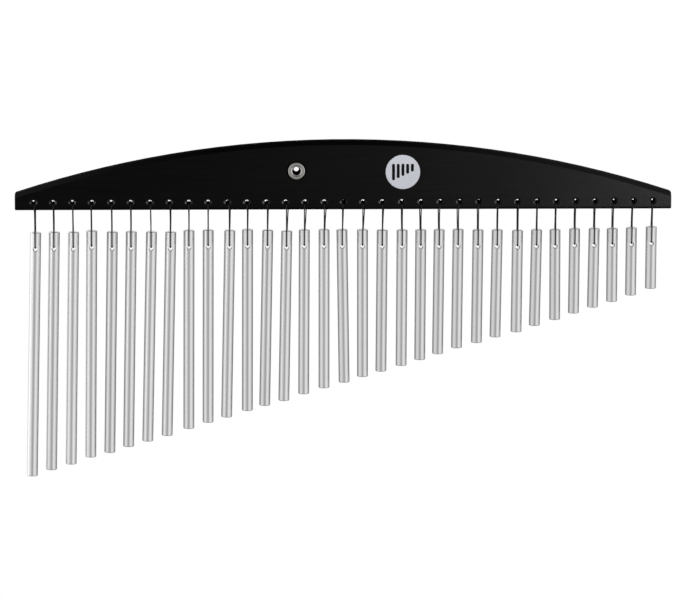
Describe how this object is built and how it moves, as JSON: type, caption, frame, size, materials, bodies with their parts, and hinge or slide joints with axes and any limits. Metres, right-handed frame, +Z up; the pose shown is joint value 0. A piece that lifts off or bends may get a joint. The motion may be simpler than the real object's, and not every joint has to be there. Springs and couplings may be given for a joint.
{
  "type": "bar chimes",
  "caption": "Bow-shaped wooden header with a row of solid metal bars of stepped length, each hung on a cord loop, and a threaded bush for a stand.",
  "frame": {"origin": "mouth of the threaded socket on the header's rear face, on the bush's axis", "axes": "+X along the header towards the short bars, -Y towards the player, +Z up"},
  "size_m": [0.6, 0.0241, 0.311],
  "materials": {
    "stained_wood": "black stain, satin",
    "nickel": "polished nickel",
    "badge_metal": "fine brushed",
    "cord": "braided",
    "bar_metal": "drawn and polished"
  },
  "bodies": {
    "header": {"header_board": "stained_wood", "mounting_bush": "nickel", "badge_disc": "badge_metal", "hanging_cords": "cord"},
    "bar_01": {"bar_01": "bar_metal"},
    "bar_02": {"bar_02": "bar_metal"},
    "bar_03": {"bar_03": "bar_metal"},
    "bar_04": {"bar_04": "bar_metal"},
    "bar_05": {"bar_05": "bar_metal"},
    "bar_06": {"bar_06": "bar_metal"},
    "bar_07": {"bar_07": "bar_metal"},
    "bar_08": {"bar_08": "bar_metal"},
    "bar_09": {"bar_09": "bar_metal"},
    "bar_10": {"bar_10": "bar_metal"},
    "bar_11": {"bar_11": "bar_metal"},
    "bar_12": {"bar_12": "bar_metal"},
    "bar_13": {"bar_13": "bar_metal"},
    "bar_14": {"bar_14": "bar_metal"},
    "bar_15": {"bar_15": "bar_metal"},
    "bar_16": {"bar_16": "bar_metal"},
    "bar_17": {"bar_17": "bar_metal"},
    "bar_18": {"bar_18": "bar_metal"},
    "bar_19": {"bar_19": "bar_metal"},
    "bar_20": {"bar_20": "bar_metal"},
    "bar_21": {"bar_21": "bar_metal"},
    "bar_22": {"bar_22": "bar_metal"},
    "bar_23": {"bar_23": "bar_metal"},
    "bar_24": {"bar_24": "bar_metal"},
    "bar_25": {"bar_25": "bar_metal"},
    "bar_26": {"bar_26": "bar_metal"},
    "bar_27": {"bar_27": "bar_metal"},
    "bar_28": {"bar_28": "bar_metal"},
    "bar_29": {"bar_29": "bar_metal"},
    "bar_30": {"bar_30": "bar_metal"},
    "bar_31": {"bar_31": "bar_metal"},
    "bar_32": {"bar_32": "bar_metal"},
    "bar_33": {"bar_33": "bar_metal"}
  },
  "joints": [
    {"name": "bar_01_swing", "type": "hinge", "parent": "header", "child": "bar_01", "pos_m": [-0.23978, -0.0095, -0.0356], "axis": [1, 0, 0], "range_deg": [-30, 30], "deforming": ["hanging_cords"]},
    {"name": "bar_02_swing", "type": "hinge", "parent": "header", "child": "bar_02", "pos_m": [-0.2221, -0.0095, -0.0356], "axis": [1, 0, 0], "range_deg": [-30, 30], "deforming": ["hanging_cords"]},
    {"name": "bar_03_swing", "type": "hinge", "parent": "header", "child": "bar_03", "pos_m": [-0.20442, -0.0095, -0.0356], "axis": [1, 0, 0], "range_deg": [-30, 30], "deforming": ["hanging_cords"]},
    {"name": "bar_04_swing", "type": "hinge", "parent": "header", "child": "bar_04", "pos_m": [-0.18674, -0.0095, -0.0356], "axis": [1, 0, 0], "range_deg": [-30, 30], "deforming": ["hanging_cords"]},
    {"name": "bar_05_swing", "type": "hinge", "parent": "header", "child": "bar_05", "pos_m": [-0.16906, -0.0095, -0.0356], "axis": [1, 0, 0], "range_deg": [-30, 30], "deforming": ["hanging_cords"]},
    {"name": "bar_06_swing", "type": "hinge", "parent": "header", "child": "bar_06", "pos_m": [-0.15138, -0.0095, -0.0356], "axis": [1, 0, 0], "range_deg": [-30, 30], "deforming": ["hanging_cords"]},
    {"name": "bar_07_swing", "type": "hinge", "parent": "header", "child": "bar_07", "pos_m": [-0.1337, -0.0095, -0.0356], "axis": [1, 0, 0], "range_deg": [-30, 30], "deforming": ["hanging_cords"]},
    {"name": "bar_08_swing", "type": "hinge", "parent": "header", "child": "bar_08", "pos_m": [-0.11602, -0.0095, -0.0356], "axis": [1, 0, 0], "range_deg": [-30, 30], "deforming": ["hanging_cords"]},
    {"name": "bar_09_swing", "type": "hinge", "parent": "header", "child": "bar_09", "pos_m": [-0.09834, -0.0095, -0.0356], "axis": [1, 0, 0], "range_deg": [-30, 30], "deforming": ["hanging_cords"]},
    {"name": "bar_10_swing", "type": "hinge", "parent": "header", "child": "bar_10", "pos_m": [-0.08066, -0.0095, -0.0356], "axis": [1, 0, 0], "range_deg": [-30, 30], "deforming": ["hanging_cords"]},
    {"name": "bar_11_swing", "type": "hinge", "parent": "header", "child": "bar_11", "pos_m": [-0.06298, -0.0095, -0.0356], "axis": [1, 0, 0], "range_deg": [-30, 30], "deforming": ["hanging_cords"]},
    {"name": "bar_12_swing", "type": "hinge", "parent": "header", "child": "bar_12", "pos_m": [-0.0453, -0.0095, -0.0356], "axis": [1, 0, 0], "range_deg": [-30, 30], "deforming": ["hanging_cords"]},
    {"name": "bar_13_swing", "type": "hinge", "parent": "header", "child": "bar_13", "pos_m": [-0.02762, -0.0095, -0.0356], "axis": [1, 0, 0], "range_deg": [-30, 30], "deforming": ["hanging_cords"]},
    {"name": "bar_14_swing", "type": "hinge", "parent": "header", "child": "bar_14", "pos_m": [-0.00994, -0.0095, -0.0356], "axis": [1, 0, 0], "range_deg": [-30, 30], "deforming": ["hanging_cords"]},
    {"name": "bar_15_swing", "type": "hinge", "parent": "header", "child": "bar_15", "pos_m": [0.00774, -0.0095, -0.0356], "axis": [1, 0, 0], "range_deg": [-30, 30], "deforming": ["hanging_cords"]},
    {"name": "bar_16_swing", "type": "hinge", "parent": "header", "child": "bar_16", "pos_m": [0.02542, -0.0095, -0.0356], "axis": [1, 0, 0], "range_deg": [-30, 30], "deforming": ["hanging_cords"]},
    {"name": "bar_17_swing", "type": "hinge", "parent": "header", "child": "bar_17", "pos_m": [0.0431, -0.0095, -0.0356], "axis": [1, 0, 0], "range_deg": [-30, 30], "deforming": ["hanging_cords"]},
    {"name": "bar_18_swing", "type": "hinge", "parent": "header", "child": "bar_18", "pos_m": [0.06078, -0.0095, -0.0356], "axis": [1, 0, 0], "range_deg": [-30, 30], "deforming": ["hanging_cords"]},
    {"name": "bar_19_swing", "type": "hinge", "parent": "header", "child": "bar_19", "pos_m": [0.07846, -0.0095, -0.0356], "axis": [1, 0, 0], "range_deg": [-30, 30], "deforming": ["hanging_cords"]},
    {"name": "bar_20_swing", "type": "hinge", "parent": "header", "child": "bar_20", "pos_m": [0.09614, -0.0095, -0.0356], "axis": [1, 0, 0], "range_deg": [-30, 30], "deforming": ["hanging_cords"]},
    {"name": "bar_21_swing", "type": "hinge", "parent": "header", "child": "bar_21", "pos_m": [0.11382, -0.0095, -0.0356], "axis": [1, 0, 0], "range_deg": [-30, 30], "deforming": ["hanging_cords"]},
    {"name": "bar_22_swing", "type": "hinge", "parent": "header", "child": "bar_22", "pos_m": [0.1315, -0.0095, -0.0356], "axis": [1, 0, 0], "range_deg": [-30, 30], "deforming": ["hanging_cords"]},
    {"name": "bar_23_swing", "type": "hinge", "parent": "header", "child": "bar_23", "pos_m": [0.14918, -0.0095, -0.0356], "axis": [1, 0, 0], "range_deg": [-30, 30], "deforming": ["hanging_cords"]},
    {"name": "bar_24_swing", "type": "hinge", "parent": "header", "child": "bar_24", "pos_m": [0.16686, -0.0095, -0.0356], "axis": [1, 0, 0], "range_deg": [-30, 30], "deforming": ["hanging_cords"]},
    {"name": "bar_25_swing", "type": "hinge", "parent": "header", "child": "bar_25", "pos_m": [0.18454, -0.0095, -0.0356], "axis": [1, 0, 0], "range_deg": [-30, 30], "deforming": ["hanging_cords"]},
    {"name": "bar_26_swing", "type": "hinge", "parent": "header", "child": "bar_26", "pos_m": [0.20222, -0.0095, -0.0356], "axis": [1, 0, 0], "range_deg": [-30, 30], "deforming": ["hanging_cords"]},
    {"name": "bar_27_swing", "type": "hinge", "parent": "header", "child": "bar_27", "pos_m": [0.2199, -0.0095, -0.0356], "axis": [1, 0, 0], "range_deg": [-30, 30], "deforming": ["hanging_cords"]},
    {"name": "bar_28_swing", "type": "hinge", "parent": "header", "child": "bar_28", "pos_m": [0.23758, -0.0095, -0.0356], "axis": [1, 0, 0], "range_deg": [-30, 30], "deforming": ["hanging_cords"]},
    {"name": "bar_29_swing", "type": "hinge", "parent": "header", "child": "bar_29", "pos_m": [0.25526, -0.0095, -0.0356], "axis": [1, 0, 0], "range_deg": [-30, 30], "deforming": ["hanging_cords"]},
    {"name": "bar_30_swing", "type": "hinge", "parent": "header", "child": "bar_30", "pos_m": [0.27294, -0.0095, -0.0356], "axis": [1, 0, 0], "range_deg": [-30, 30], "deforming": ["hanging_cords"]},
    {"name": "bar_31_swing", "type": "hinge", "parent": "header", "child": "bar_31", "pos_m": [0.29062, -0.0095, -0.0356], "axis": [1, 0, 0], "range_deg": [-30, 30], "deforming": ["hanging_cords"]},
    {"name": "bar_32_swing", "type": "hinge", "parent": "header", "child": "bar_32", "pos_m": [0.3083, -0.0095, -0.0356], "axis": [1, 0, 0], "range_deg": [-30, 30], "deforming": ["hanging_cords"]},
    {"name": "bar_33_swing", "type": "hinge", "parent": "header", "child": "bar_33", "pos_m": [0.32598, -0.0095, -0.0356], "axis": [1, 0, 0], "range_deg": [-30, 30], "deforming": ["hanging_cords"]}
  ]
}
